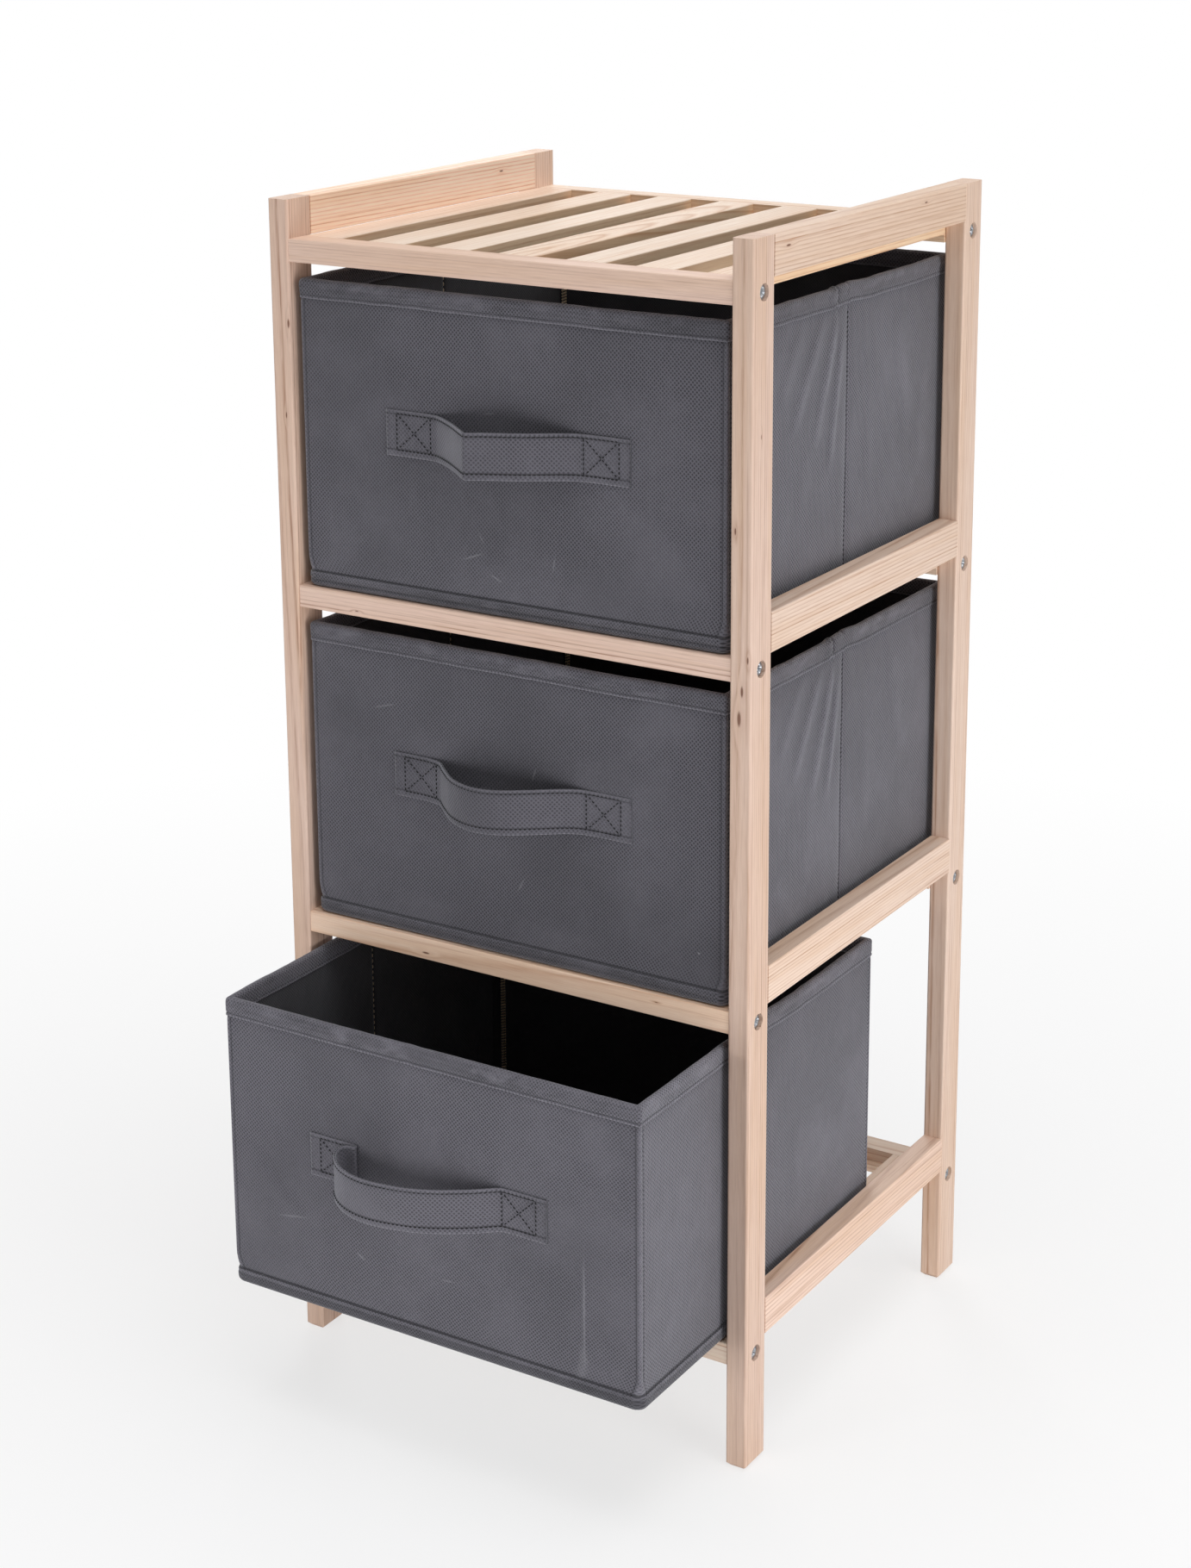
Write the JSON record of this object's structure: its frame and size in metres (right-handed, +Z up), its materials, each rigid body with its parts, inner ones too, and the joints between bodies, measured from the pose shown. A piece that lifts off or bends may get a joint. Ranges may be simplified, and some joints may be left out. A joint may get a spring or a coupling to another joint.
{
  "type": "shelf with fabric drawers",
  "caption": "Narrow slatted wooden rack with open shelves, holding pull-out fabric bins with strap handles; one bin stands part way out.",
  "frame": {"origin": "on the floor, in the middle of the bounding box at rest: x = 0 is the rack's middle, y = 0 is halfway between the rack's back and the foremost point of the bottom drawer's strap", "axes": "+Z up, +Y towards the back, +X to the right as seen from the front"},
  "size_m": [0.36, 0.4488, 0.81],
  "materials": {
    "pine": "planed and clear-coated matt",
    "dowel_wood": "fluted, raw",
    "zinc_steel": "zinc plated",
    "cover_fabric": "non-woven, embossed, matt",
    "lining_fabric": "non-woven, matt",
    "binding_tape": "non-woven tape, stitched",
    "stiffener_board": "raw grey board",
    "webbing": "woven webbing"
  },
  "bodies": {
    "rack": {"post_front_left": "pine", "post_front_right": "pine", "post_rear_left": "pine", "post_rear_right": "pine", "side_rail_left_base": "pine", "side_rail_left_lower": "pine", "side_rail_left_upper": "pine", "side_rail_left_top": "pine", "side_rail_right_base": "pine", "side_rail_right_lower": "pine", "side_rail_right_upper": "pine", "side_rail_right_top": "pine", "front_rail_base": "pine", "front_rail_lower": "pine", "front_rail_upper": "pine", "front_rail_top": "pine", "back_rail_base": "pine", "back_rail_lower": "pine", "back_rail_upper": "pine", "back_rail_top": "pine", "slats_base": "pine", "slats_lower": "pine", "slats_upper": "pine", "top_slat_1": "pine", "top_slat_2": "pine", "top_slat_3": "pine", "top_slat_4": "pine", "top_slat_5": "pine", "top_slat_6": "pine", "top_slat_7": "pine", "frame_screws": "zinc_steel", "frame_dowels": "dowel_wood", "slat_brads": "zinc_steel"},
    "bottom_drawer": {"bottom_drawer_cover": "cover_fabric", "bottom_drawer_lining": "lining_fabric", "bottom_drawer_rim_binding": "binding_tape", "bottom_drawer_base_binding": "binding_tape", "bottom_drawer_front_board": "stiffener_board", "bottom_drawer_back_board": "stiffener_board", "bottom_drawer_side_boards": "stiffener_board", "bottom_drawer_base_board": "stiffener_board", "bottom_drawer_handle": "webbing"},
    "middle_drawer": {"middle_drawer_cover": "cover_fabric", "middle_drawer_lining": "lining_fabric", "middle_drawer_rim_binding": "binding_tape", "middle_drawer_base_binding": "binding_tape", "middle_drawer_front_board": "stiffener_board", "middle_drawer_back_board": "stiffener_board", "middle_drawer_side_boards": "stiffener_board", "middle_drawer_base_board": "stiffener_board", "middle_drawer_handle": "webbing"},
    "top_drawer": {"top_drawer_cover": "cover_fabric", "top_drawer_lining": "lining_fabric", "top_drawer_rim_binding": "binding_tape", "top_drawer_base_binding": "binding_tape", "top_drawer_front_board": "stiffener_board", "top_drawer_back_board": "stiffener_board", "top_drawer_side_boards": "stiffener_board", "top_drawer_base_board": "stiffener_board", "top_drawer_handle": "webbing"}
  },
  "joints": [
    {"name": "bottom_drawer_slide", "type": "slide", "parent": "rack", "child": "bottom_drawer", "axis": [0, -1, 0], "range_m": [-0.103, 0.137]},
    {"name": "middle_drawer_slide", "type": "slide", "parent": "rack", "child": "middle_drawer", "axis": [0, -1, 0], "range_m": [0, 0.24]},
    {"name": "top_drawer_slide", "type": "slide", "parent": "rack", "child": "top_drawer", "axis": [0, -1, 0], "range_m": [0, 0.24]}
  ]
}
